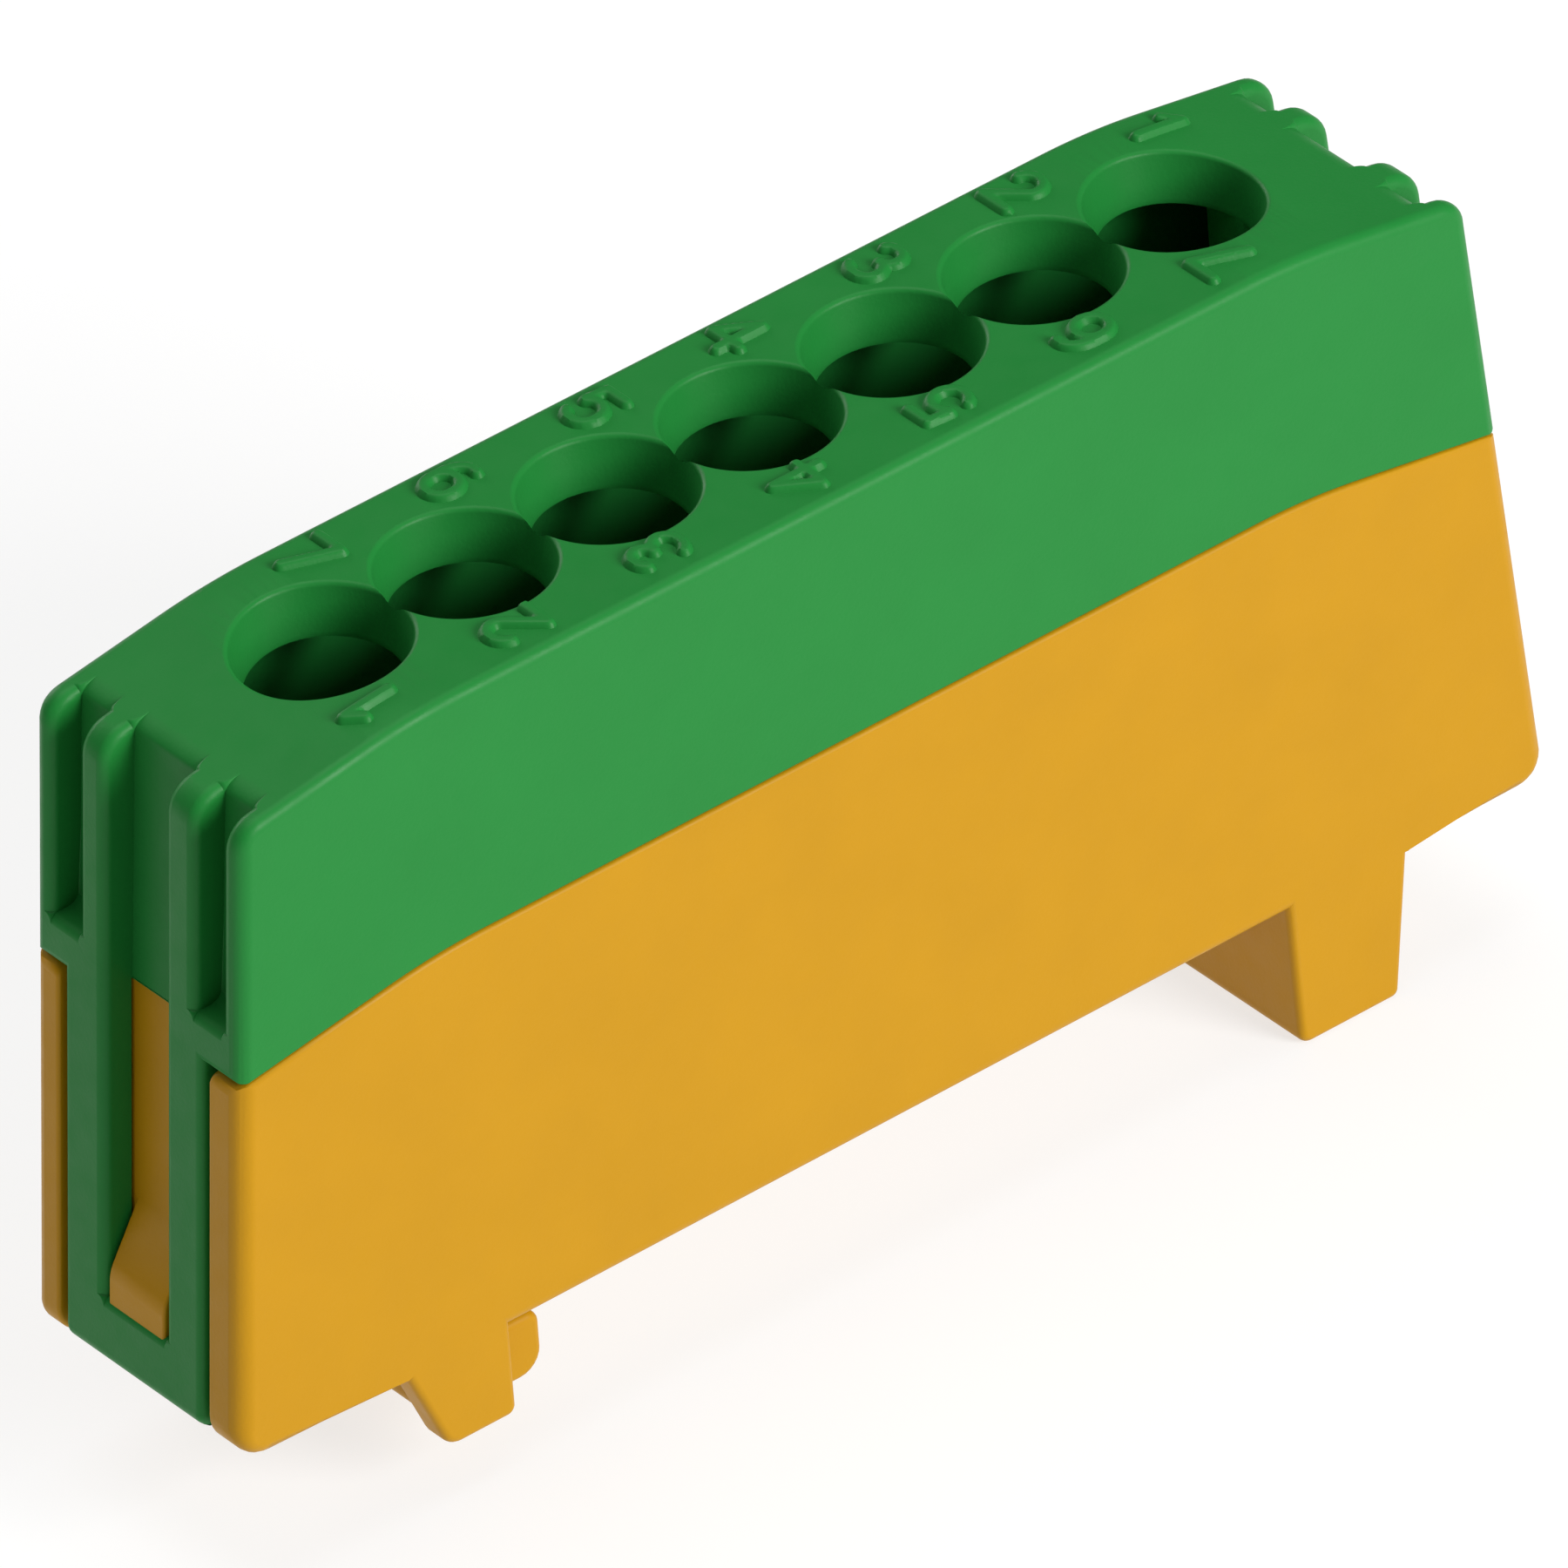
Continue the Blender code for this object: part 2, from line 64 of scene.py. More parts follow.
# Outer form
HALF_DEPTH = 5.8
CAP_HALF_DEPTH = 5.74
HALF_LENGTH = 29.7
DRAFT = math.tan(math.radians(5.1))
HEIGHT = 27.0
TOP_KNEE = 19.7
SEAM_HEIGHT = 16.85
SEAM_KNEE = 19.5
SEAM_GAP = 0.05
END_SLOPE = 0.16
KNEE_BLEND = 2.2
KNEE_STEPS = 32

# Ends
END_ROUND = 1.3
SEAM_ROUND = 0.45
FLUTE = 1.3
FLUTE_FOOT = 17.4
FLUTE_INNER = 3.2
FLUTE_OUTER = 4.75
LIP = 0.42
TOP_RUN = 0.95
SLOT_HALF = 1.7
SLOT_SHIFT = 0.12
SLOT_TOP = 15.85
SLOT_FOOT = 3.2
TONGUE = 1.25
TONGUE_HALF = 3.85
TONGUE_SHIFT = 0.2
TONGUE_FOOT = 0.45
END_RECESS = 1.4
BAY_NEAR = -4.02
BAY_FAR = 4.34

# Edge radii
CAP_EDGE = 0.45
CAP_SEAM_EDGE = 0.1
CAP_CORNER = 0.62
TONGUE_EDGE = 0.34
BASE_EDGE = 0.5
BASE_SEAM_EDGE = 0.2
BASE_CORNER = 0.75
FOOT_EDGE = 0.3
SMALL_EDGE = 0.12
SHARP_CORNER = math.radians(25)

# Inner form
TONGUE_ROOT = 17.2
CAP_TOP_WALL = 2.0
CAP_END_WALL = 2.4
CAP_CAVITY_HALF = 4.7
CAP_CAVITY_DROP = 2.6
BASE_FLOOR = 1.6
BASE_END_WALL = 2.6
BASE_CAVITY_HALF = 3.8
SPIGOT_RISE = 1.15
SPIGOT_HALF = 4.4
SPIGOT_END = 25.4

# Wire entries
WIRE_HEIGHT = 7.6
ENTRY_RADIUS = 2.9
ENTRY_LEAD = 0.3
ENTRY_SIDES = 72

# Feet and rail latch
FOOT_ROOT = 0.8
POST_INNER = 4.45
POST_FOOT = -3.77
RAIL_SIDE = 17.63
RIGHT_FOOT = -6.0
LIP_HALF = 2.2
LATCH_HALF = 4.2
LATCH_FOOT = -3.95
FLANGE_GAP = -1.35

# Snap wedges
WEDGE_TOP = 7.0
WEDGE_CREST = 4.3
WEDGE_FOOT = 2.6
WEDGE_HALF = 1.55
WEDGE_SETBACK = 0.1

# Driver holes
RIM_RADIUS = 3.25
HOLE_SHIFT = 0.18
NECK_RADIUS = 2.86
CONE_DEPTH = 1.8


# Outlines, in the XZ plane


def half_length(z):
    return HALF_LENGTH - z * DRAFT


def crown(x, height, knee):
    """Height of a line that is level in the middle and falls past each knee."""
    past = abs(x) - knee
    if past <= -KNEE_BLEND:
        return height
    if past >= KNEE_BLEND:
        return height - END_SLOPE * past
    return height - END_SLOPE * (past + KNEE_BLEND) ** 2 / (4 * KNEE_BLEND)


def crown_line(height, knee, inset=0.0):
    """The crown line from the right-hand end to the left-hand one."""
    end = half_length(height) - inset
    for _ in range(8):
        end = half_length(crown(end, height, knee)) - inset
    bend = [knee + KNEE_BLEND * (1 - 2 * i / KNEE_STEPS) for i in range(KNEE_STEPS + 1)]
    right = [(end, crown(end, height, knee))] + [(x, crown(x, height, knee)) for x in bend]
    return right + [(-x, z) for x, z in reversed(right)]


def unit(a, b):
    length = math.hypot(b[0] - a[0], b[1] - a[1])
    return (b[0] - a[0]) / length, (b[1] - a[1]) / length


def corner_arc(corner, before, after, radius, steps):
    """Points of the arc of this radius that touches both sides of a corner."""
    u = unit(corner, before)
    v = unit(corner, after)
    half = math.acos(max(-1.0, min(1.0, u[0] * v[0] + u[1] * v[1]))) / 2
    reach = radius / math.tan(half)
    middle = math.hypot(u[0] + v[0], u[1] + v[1])
    away = radius / math.sin(half) / middle
    centre = (corner[0] + (u[0] + v[0]) * away, corner[1] + (u[1] + v[1]) * away)
    start = (corner[0] + u[0] * reach - centre[0], corner[1] + u[1] * reach - centre[1])
    first = math.atan2(start[1], start[0])
    turn = math.pi - 2 * half
    if u[0] * v[1] - u[1] * v[0] > 0:
        turn = -turn
    angles = [first + turn * i / steps for i in range(steps + 1)]
    return [(centre[0] + radius * math.cos(a), centre[1] + radius * math.sin(a)) for a in angles]


def rounded(corners, steps=6):
    """An outline whose corners (x, z, radius) are replaced by arcs."""
    points = []
    for i, (x, z, radius) in enumerate(corners):
        if not radius:
            points.append((x, z))
            continue
        before, after = corners[i - 1], corners[(i + 1) % len(corners)]
        points += corner_arc((x, z), before[:2], after[:2], radius, steps)
    return points


def end_band(side, outer, inner, low, high):
    """The slanted strip between two distances in from an end, from one height to another."""
    return [
        (side * (half_length(low) - outer), low),
        (side * (half_length(high) - outer), high),
        (side * (half_length(high) - inner), high),
        (side * (half_length(low) - inner), low),
    ]


# Mesh building


def prism(mesh, outline, y_low, y_high):
    area = sum(a[0] * b[1] - b[0] * a[1] for a, b in zip(outline, outline[1:] + outline[:1]))
    if area < 0:
        outline = outline[::-1]
    near = [mesh.verts.new((x, y_low, z)) for x, z in outline]
    far = [mesh.verts.new((x, y_high, z)) for x, z in outline]
    mesh.faces.new(near)
    mesh.faces.new(far[::-1])
    for i in range(len(outline)):
        j = (i + 1) % len(outline)
        mesh.faces.new((near[j], near[i], far[i], far[j]))


def block(mesh, x, y, z):
    prism(mesh, [(x[0], z[0]), (x[1], z[0]), (x[1], z[1]), (x[0], z[1])], y[0], y[1])


def turned(mesh, profile, centre=(0.0, 0.0), sides=96, drop=None):
    """A profile of (radius, z), from the bottom up, turned about a vertical axis."""
    rings = []
    for radius, z in profile:
        ring = []
        for i in range(sides):
            a = 2 * math.pi * i / sides
            x = centre[0] + radius * math.cos(a)
            y = centre[1] + radius * math.sin(a)
            ring.append(mesh.verts.new((x, y, z - (drop(x) if drop else 0.0))))
        rings.append(ring)
    mesh.faces.new(rings[0][::-1])
    mesh.faces.new(rings[-1])
    for low, high in zip(rings, rings[1:]):
        for i in range(sides):
            j = (i + 1) % sides
            mesh.faces.new((low[i], low[j], high[j], high[i]))


def sweep(mesh, path, section):
    """Carries a section along a path of (x, z, nx, nz, radius).

    The section is a function of the radius that gives (y, depth) points, depth being against the normal.
    """
    rings = []
    for x, z, nx, nz, radius in path:
        points = [(x - nx * depth, y, z - nz * depth) for y, depth in section(radius)]
        rings.append([mesh.verts.new(point) for point in points])
    faces = [mesh.faces.new(rings[0]), mesh.faces.new(rings[-1])]
    for low, high in zip(rings, rings[1:]):
        for i in range(len(low)):
            j = (i + 1) % len(low)
            faces.append(mesh.faces.new((low[j], low[i], high[i], high[j])))
    bmesh.ops.recalc_face_normals(mesh, faces=faces)


def temporary(build, name="shape"):
    work = bmesh.new()
    build(work)
    mesh = bpy.data.meshes.new(name)
    work.to_mesh(mesh)
    work.free()
    item = bpy.data.objects.new(name, mesh)
    bpy.context.scene.collection.objects.link(item)
    return item


def settle(item):
    """Replaces an object's mesh with what its modifiers make of it."""
    graph = bpy.context.evaluated_depsgraph_get()
    mesh = bpy.data.meshes.new_from_object(item.evaluated_get(graph))
    item.modifiers.clear()
    item.data = mesh


def combine(item, operation, *tools):
    """Joins or cuts shapes one after another, each a function that draws it or an object."""
    for tool in tools:
        if callable(tool):
            tool = temporary(tool)
        modifier = item.modifiers.new("step", "BOOLEAN")
        modifier.operation = operation
        modifier.solver = "EXACT"
        modifier.object = tool
        settle(item)
        bpy.data.objects.remove(tool, do_unlink=True)


def round_edges(item, rule, segments=4):
    """Bevels each sharp edge by the radius that the rule gives for its ends and its two faces."""
    mesh = item.data
    work = bmesh.new()
    work.from_mesh(mesh)
    bmesh.ops.remove_doubles(work, verts=work.verts, dist=1e-4)
    bmesh.ops.dissolve_limit(work, angle_limit=math.radians(0.5), verts=work.verts, edges=work.edges)
    layers = work.edges.layers.float
    weights = layers.get("bevel_weight_edge") or layers.new("bevel_weight_edge")
    for edge in work.edges:
        edge[weights] = 0.0
        if len(edge.link_faces) != 2 or edge.calc_face_angle(0.0) < SHARP_CORNER:
            continue
        middle = (edge.verts[0].co + edge.verts[1].co) / 2
        along = (edge.verts[1].co - edge.verts[0].co).normalized()
        edge[weights] = rule(middle, along, edge.is_convex)
    work.to_mesh(mesh)
    work.free()
    modifier = item.modifiers.new("round", "BEVEL")
    modifier.limit_method = "WEIGHT"
    modifier.width = 1.0
    modifier.segments = segments
    modifier.use_clamp_overlap = False
    modifier.loop_slide = False
    modifier.miter_outer = "MITER_SHARP"
    settle(item)


def finish_piece(item, name, body, material, replaces=(), sharp=38):
    """Scales a shape to metres, smooths its shading and puts it on its body."""
    work = bmesh.new()
    work.from_mesh(item.data)
    bmesh.ops.remove_doubles(work, verts=work.verts, dist=1e-4)
    bmesh.ops.dissolve_degenerate(work, edges=work.edges, dist=1e-5)
    bmesh.ops.transform(work, matrix=Matrix.Scale(MM, 4), verts=work.verts)
    work.to_mesh(item.data)
    work.free()
    item.name = name
    item.data.name = name
    item.data.shade_smooth()
    item.data.set_sharp_from_angle(angle=math.radians(sharp))
    item.data.materials.clear()
    item.data.materials.append(material)
    modifier = item.modifiers.new("normals", "WEIGHTED_NORMAL")
    modifier.keep_sharp = True
    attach(item, body)
    if replaces:
        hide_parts(*replaces)
    return item


# Materials


def noise(tree, coordinates, scale, detail=3.0):
    made = tree.nodes.new("ShaderNodeTexNoise")
    made.inputs["Scale"].default_value = scale
    made.inputs["Detail"].default_value = detail
    tree.links.new(coordinates, made.inputs["Vector"])
    return made.outputs["Fac"]


def ramp(tree, value, stops):
    made = tree.nodes.new("ShaderNodeValToRGB")
    elements = made.color_ramp.elements
    while len(elements) < len(stops):
        elements.new(0.5)
    for element, (place, color) in zip(elements, stops):
        element.position = place
        element.color = (*color, 1.0)
    tree.links.new(value, made.inputs["Fac"])
    return made.outputs["Color"]


def remap(tree, value, low, high):
    made = tree.nodes.new("ShaderNodeMapRange")
    made.inputs["From Min"].default_value = 0.3
    made.inputs["From Max"].default_value = 0.7
    made.inputs["To Min"].default_value = low
    made.inputs["To Max"].default_value = high
    tree.links.new(value, made.inputs["Value"])
    return made.outputs["Result"]


def shaded(color, factor):
    return tuple(channel * factor for channel in color)


def bump(tree, height, shader, strength, distance):
    made = tree.nodes.new("ShaderNodeBump")
    made.inputs["Strength"].default_value = strength
    made.inputs["Distance"].default_value = distance
    tree.links.new(height, made.inputs["Height"])
    tree.links.new(made.outputs["Normal"], shader.inputs["Normal"])


def blank(name):
    material = bpy.data.materials.new(name)
    material.use_nodes = True
    tree = material.node_tree
    shader = tree.nodes["Principled BSDF"]
    coordinates = tree.nodes.new("ShaderNodeTexCoord").outputs["Object"]
    return material, tree, shader, coordinates


def moulded(name, color, roughness=0.42):
    """Satin moulded plastic: faint flow mottling, and a fine spark-eroded grain."""
    material, tree, shader, coordinates = blank(name)
    mottle = noise(tree, coordinates, 260.0, 4.0)
    stops = [(0.25, shaded(color, 0.97)), (0.5, color), (0.75, shaded(color, 1.03))]
    tree.links.new(ramp(tree, mottle, stops), shader.inputs["Base Color"])
    patches = noise(tree, coordinates, 900.0, 5.0)
    tree.links.new(remap(tree, patches, roughness - 0.05, roughness + 0.07), shader.inputs["Roughness"])
    grain = noise(tree, coordinates, 6500.0, 2.0)
    bump(tree, grain, shader, 0.35, 0.00002)
    shader.inputs["Specular IOR Level"].default_value = 0.15
    return material


def plated(name, color, roughness):
    """Plated or machined metal with fine tool marks."""
    material, tree, shader, coordinates = blank(name)
    mottle = noise(tree, coordinates, 1200.0, 5.0)
    stops = [(0.3, shaded(color, 0.85)), (0.7, color)]
    tree.links.new(ramp(tree, mottle, stops), shader.inputs["Base Color"])
    marks = noise(tree, coordinates, 5000.0, 4.0)
    tree.links.new(remap(tree, marks, roughness - 0.07, roughness + 0.1), shader.inputs["Roughness"])
    bump(tree, marks, shader, 0.25, 0.00001)
    shader.inputs["Metallic"].default_value = 1.0
    return material


GREEN = moulded("green_moulding", (0.013, 0.195, 0.032))
YELLOW = moulded("yellow_moulding", (0.475, 0.235, 0.003))
BRASS = plated("machined_brass", (0.75, 0.52, 0.22), 0.3)
ZINC = plated("zinc_plating", (0.5, 0.51, 0.53), 0.45)
NICKEL = plated("nickel_plating", (0.62, 0.6, 0.56), 0.3)


# Cap


def cap_body(mesh):
    top = [(x, z, 0.0) for x, z in crown_line(HEIGHT, TOP_KNEE)]
    top[0] = (*top[0][:2], END_ROUND)
    top[-1] = (*top[-1][:2], END_ROUND)
    seam = [(x, z, 0.0) for x, z in reversed(crown_line(SEAM_HEIGHT + SEAM_GAP, SEAM_KNEE))]
    prism(mesh, rounded(top + seam, 8), -CAP_HALF_DEPTH, CAP_HALF_DEPTH)


def cap_rule(middle, along, convex):
    """Edge radii round the cap's front and back faces."""
    x, y, z = abs(middle.x), abs(middle.y), middle.z
    if y < CAP_HALF_DEPTH - 0.05:
        return SEAM_ROUND if z < SEAM_HEIGHT and half_length(z) - x < 0.1 else 0.0
    return CAP_SEAM_EDGE if z < crown(x, SEAM_HEIGHT, SEAM_KNEE) + 0.2 else CAP_EDGE


def cap_tongues(mesh):
    for side in (-1, 1):
        outline = rounded([
            (side * half_length(TONGUE_ROOT), TONGUE_ROOT, 0),
            (side * (half_length(TONGUE_ROOT) - TONGUE), TONGUE_ROOT, 0),
            (side * (half_length(TONGUE_FOOT) - TONGUE), TONGUE_FOOT, 0.2),
            (side * half_length(TONGUE_FOOT), TONGUE_FOOT, 0.55),
        ])
        prism(mesh, outline, TONGUE_SHIFT - TONGUE_HALF, TONGUE_SHIFT + TONGUE_HALF)


def tongue_rule(middle, along, convex):
    """Edge radii round the sides of a tongue, below its root."""
    if abs(middle.y - TONGUE_SHIFT) < TONGUE_HALF - 0.05 or middle.z > 17.0:
        return 0.0
    inset = half_length(middle.z) - abs(middle.x)
    return TONGUE_EDGE if inset < 0.3 else SMALL_EDGE


def cap_cavity(mesh):
    ceiling = crown_line(HEIGHT - CAP_TOP_WALL, TOP_KNEE, CAP_END_WALL)
    low = SEAM_HEIGHT - CAP_CAVITY_DROP
    foot = half_length(low) - CAP_END_WALL
    prism(mesh, ceiling + [(-foot, low), (foot, low)], -CAP_CAVITY_HALF, CAP_CAVITY_HALF)


def mitre(run, steps=5):
    """How far along, and how deep, a softened edge is on its way out to the surface."""
    angles = [math.radians(78 * i / steps) for i in range(steps + 1)]
    return [(run * (1 - math.cos(a)), LIP * (1 - math.sin(a))) for a in angles]


def notch_corner():
    """Where the floor of a notch would meet the top."""
    z = HEIGHT
    for _ in range(8):
        z = crown(half_length(z) - FLUTE, HEIGHT, TOP_KNEE)
    return half_length(z) - FLUTE, z


END_LEAN = math.atan(DRAFT)
TOP_LEAN = math.pi / 2 - math.atan(END_SLOPE)


def notch_foot(side, foot):
    """Outline points where a notch in an end starts at its foot, with a softened lip."""
    low = foot - 1.1
    points = [(side * (HALF_LENGTH + FLUTE), low, 0), (side * (half_length(low) + 0.15), low, 0)]
    for past, depth in reversed(mitre(LIP)):
        z = foot - past
        x = half_length(z) - math.cos(END_LEAN) * depth
        points.append((side * x, z - math.sin(END_LEAN) * depth, 0))
    return points


def notch_top(side):
    """Outline points where a notch in an end runs out at the top, with a softened lip."""
    corner_x, corner_z = notch_corner()
    points = []
    for past, depth in mitre(TOP_RUN):
        x = corner_x - past - math.cos(TOP_LEAN) * depth
        points.append((side * x, corner_z + past * END_SLOPE - math.sin(TOP_LEAN) * depth, 0))
    return points + [
        (side * (corner_x - 2.0), corner_z + 2.0 * END_SLOPE + 0.2, 0),
        (side * (corner_x - 2.0), HEIGHT + 2.0, 0),
        (side * (HALF_LENGTH + FLUTE), HEIGHT + 2.0, 0),
    ]


def cap_slots(mesh):
    for side in (-1, 1):
        inset = (TONGUE + FLUTE) / 2
        outline = notch_foot(side, SLOT_FOOT) + [
            (side * (half_length(SLOT_FOOT) - inset), SLOT_FOOT, 0),
            (side * (half_length(SLOT_TOP) - inset), SLOT_TOP, 0),
            (side * (HALF_LENGTH + FLUTE), SLOT_TOP, 0),
        ]
        prism(mesh, rounded(outline), SLOT_SHIFT - SLOT_HALF, SLOT_SHIFT + SLOT_HALF)


def cap_flutes(mesh):
    """Two flutes in each end, with a softened lip and foot."""
    for side in (-1, 1):
        foot = (side * (half_length(FLUTE_FOOT) - FLUTE), FLUTE_FOOT, 0.6)
        outline = rounded(notch_foot(side, FLUTE_FOOT) + [foot] + notch_top(side))
        prism(mesh, outline, FLUTE_INNER, FLUTE_OUTER)
        prism(mesh, outline, -FLUTE_OUTER, -FLUTE_INNER)


def cap_recess(mesh):
    """The central recess of each end, which runs down into the slot."""
    for side in (-1, 1):
        low = SLOT_TOP - 0.13
        outline = rounded([
            (side * (HALF_LENGTH + FLUTE), low, 0),
            (side * (half_length(low) - FLUTE), low, 0),
        ] + notch_top(side))
        prism(mesh, outline, SLOT_SHIFT - SLOT_HALF, SLOT_SHIFT + SLOT_HALF)


def floor_rule(middle, along, convex):
    """Rounds the long floor edges of a notch cutter."""
    inset = half_length(middle.z) - abs(middle.x)
    return 0.3 if abs(inset - FLUTE) < 0.05 and abs(along.z) > 0.9 else 0.0


def end_path(side, foot):
    """The outer line of an end, from the foot of a notch up and over the rounded top corner."""
    path = []
    for past, radius in reversed(mitre(LIP)):
        z = foot - past
        path.append((side * half_length(z), z, side * math.cos(END_LEAN), math.sin(END_LEAN), radius))
    top = crown_line(HEIGHT, TOP_KNEE)
    path += turn_path(side, (half_length(0.0), 0.0), top[0], top[1], END_ROUND, TOP_LEAN, LIP, LIP)
    x, z = notch_corner()
    for past, radius in mitre(TOP_RUN):
        place = side * (x - past), z + past * END_SLOPE
        path.append((*place, side * math.cos(TOP_LEAN), math.sin(TOP_LEAN), radius))
    return path


def turn_path(side, before, corner, after, bend, lean, first, last, steps=7):
    """Path points round a rounded corner of the outline, with an edge radius that goes from first to last."""
    path = []
    for i, (x, z) in enumerate(corner_arc(corner, before, after, bend, steps)):
        a = END_LEAN + (lean - END_LEAN) * i / steps
        radius = first + (last - first) * i / steps
        path.append((side * x, z, side * math.cos(a), math.sin(a), radius))
    return path


def corner_edges(start, turn, radius, y):
    """Rounds the four upright corners more than the rest, from a height to the far side of a turn."""
    def build(mesh):
        for side in (-1, 1):
            for face in (-1, 1):
                normal = side * math.cos(END_LEAN), math.sin(END_LEAN)
                first = (side * half_length(start), start, *normal, radius)
                sweep(mesh, [first] + turn_path(side, *turn, radius, 0.3), edge_section(face * y, -face))
    return build


def edge_section(y, toward):
    """Rounds the edge of a notch wall at this y, whose solid side is the way given."""
    def section(radius):
        points = [(y - toward * 0.4, -0.4), (y - toward * 0.4, radius - 0.015)]
        points.append((y - toward * 0.002, radius - 0.004))
        for i in range(1, 6):
            a = math.radians(80 * i / 5)
            points.append((y + toward * radius * (1 - math.cos(a)), radius * (1 - math.sin(a))))
        end = points[-1]
        reach = (end[1] + 0.1) / math.tan(math.radians(10))
        points.append((end[0] + toward * reach, -0.1))
        points.append((end[0] + toward * reach, -0.4))
        return points
    return section


def cap_edges(y, toward, foot):
    """Rounds one wall's outer edge at both ends of the cap."""
    def build(mesh):
        for side in (-1, 1):
            sweep(mesh, end_path(side, foot), edge_section(y, toward))
    return build


def cap_hold_downs(mesh):
    """Posts that reach down to the busbar at each end."""
    for side in (-1, 1):
        block(mesh, sorted((side * 21.9, side * 22.9)), (-2.0, 2.0), (14.5, 25.2))


def hole_profile():
    """Half section of a driver hole: neck, cone and a softened rim."""
    slope = (RIM_RADIUS - NECK_RADIUS) / CONE_DEPTH
    soft = 0.22
    lean = math.atan(slope)
    centre = (RIM_RADIUS + soft * (1 / math.cos(lean) - math.tan(lean)), HEIGHT - soft)
    profile = [(NECK_RADIUS, HEIGHT - 3.2), (NECK_RADIUS, HEIGHT - CONE_DEPTH - 0.1)]
    profile.append((NECK_RADIUS + 0.02, HEIGHT - CONE_DEPTH))
    steps = 6
    first, last = math.pi - lean, math.radians(100)
    for i in range(steps + 1):
        a = first + (last - first) * i / steps
        profile.append((centre[0] + soft * math.cos(a), centre[1] + soft * math.sin(a)))
    rise = math.tan(math.radians(10))
    end = profile[-1]
    profile.append((end[0] + 0.6, end[1] + 0.6 * rise))
    profile.append((end[0] + 0.6, end[1] + 2.0))
    return profile


def top_drop(x):
    return HEIGHT - crown(x, HEIGHT, TOP_KNEE)


def holes(first):
    def build(mesh):
        for x in WAY_X[first::2]:
            turned(mesh, hole_profile(), (x, HOLE_SHIFT), 112, top_drop)
    return build


# Raised figures

FIGURE_HEIGHT = 2.05
FIGURE_WIDTH = 1.45
FIGURE_RISE = 0.23
STROKE = 0.28
FIGURE_GRID = 0.08


def arc(cx, cy, rx, ry, start, end, steps=14):
    angles = [math.radians(start + (end - start) * i / steps) for i in range(steps + 1)]
    return [(cx + rx * math.cos(a), cy + ry * math.sin(a)) for a in angles]


FIGURES = {
    1: [[(-0.28, 0.74), (0.1, 1.0), (0.1, 0.0)]],
    2: [arc(0.0, 0.72, 0.42, 0.28, 170, -25) + [(-0.45, 0.0), (0.46, 0.0)]],
    3: [arc(0.0, 0.76, 0.38, 0.24, 150, -80) + arc(0.0, 0.27, 0.45, 0.27, 80, -150)],
    4: [[(0.16, 0.0), (0.16, 1.0), (-0.5, 0.3), (0.5, 0.3)]],
    5: [[(0.4, 1.0), (-0.32, 1.0), (-0.38, 0.55)] + arc(0.0, 0.33, 0.45, 0.33, 140, -145)],
    6: [arc(0.05, 0.55, 0.48, 0.45, 75, 180) + arc(0.0, 0.32, 0.43, 0.32, 180, 540, 28)],
    7: [[(-0.45, 1.0), (0.45, 1.0), (-0.1, 0.0)]],
}


def stroke_distance(point, strokes):
    best = 1e9
    for line in strokes:
        for a, b in zip(line, line[1:]):
            dx, dy = b[0] - a[0], b[1] - a[1]
            t = ((point[0] - a[0]) * dx + (point[1] - a[1]) * dy) / (dx * dx + dy * dy)
            t = max(0.0, min(1.0, t))
            best = min(best, math.hypot(point[0] - a[0] - t * dx, point[1] - a[1] - t * dy))
    return best


def figure_height(distance):
    """Height of a raised stroke above the surface: a flat crest with soft flanks."""
    past = (distance - STROKE * 0.45) / (STROKE * 0.6)
    if past <= 0:
        return FIGURE_RISE
    if past >= 1.25:
        return -0.12
    return FIGURE_RISE * (1 - past * past * (1.4 - 0.4 * past))


def figure(mesh, number, place):
    """One figure as a closed solid that sinks a little into the top."""
    strokes = [[(u * FIGURE_WIDTH, (v - 0.5) * FIGURE_HEIGHT) for u, v in line] for line in FIGURES[number]]
    margin = STROKE * 1.3
    reach_u = FIGURE_WIDTH * 0.46 + margin
    reach_v = FIGURE_HEIGHT / 2 + margin
    count_u = round(2 * reach_u / FIGURE_GRID)
    count_v = round(2 * reach_v / FIGURE_GRID)
    upper, lower = [], []
    for i in range(count_u + 1):
        u = -reach_u + 2 * reach_u * i / count_u
        upper.append([])
        lower.append([])
        for j in range(count_v + 1):
            v = -reach_v + 2 * reach_v * j / count_v
            x, y = place(u, v)
            base = crown(x, HEIGHT, TOP_KNEE)
            rise = figure_height(stroke_distance((u, v), strokes))
            upper[i].append(mesh.verts.new((x, y, base + rise)))
            lower[i].append(mesh.verts.new((x, y, base - 0.3)))
    for i in range(count_u):
        for j in range(count_v):
            cell = [(i, j), (i + 1, j), (i + 1, j + 1), (i, j + 1)]
            mesh.faces.new([upper[a][b] for a, b in cell])
            mesh.faces.new([lower[a][b] for a, b in reversed(cell)])
    around = [(i, 0) for i in range(count_u)] + [(count_u, j) for j in range(count_v)]
    around += [(i, count_v) for i in range(count_u, 0, -1)] + [(0, j) for j in range(count_v, 0, -1)]
    for (a, b), (c, d) in zip(around, around[1:] + around[:1]):
        mesh.faces.new((upper[c][d], upper[a][b], lower[a][b], lower[c][d]))


def figures(mesh):
    for index, way in enumerate(WAY_X):
        figure(mesh, index + 1, lambda u, v, x=way: (x - 1.25 - v, -4.05 + u))
        figure(mesh, WAYS - index, lambda u, v, x=way: (x + 2.6 + v, 4.25 - u))


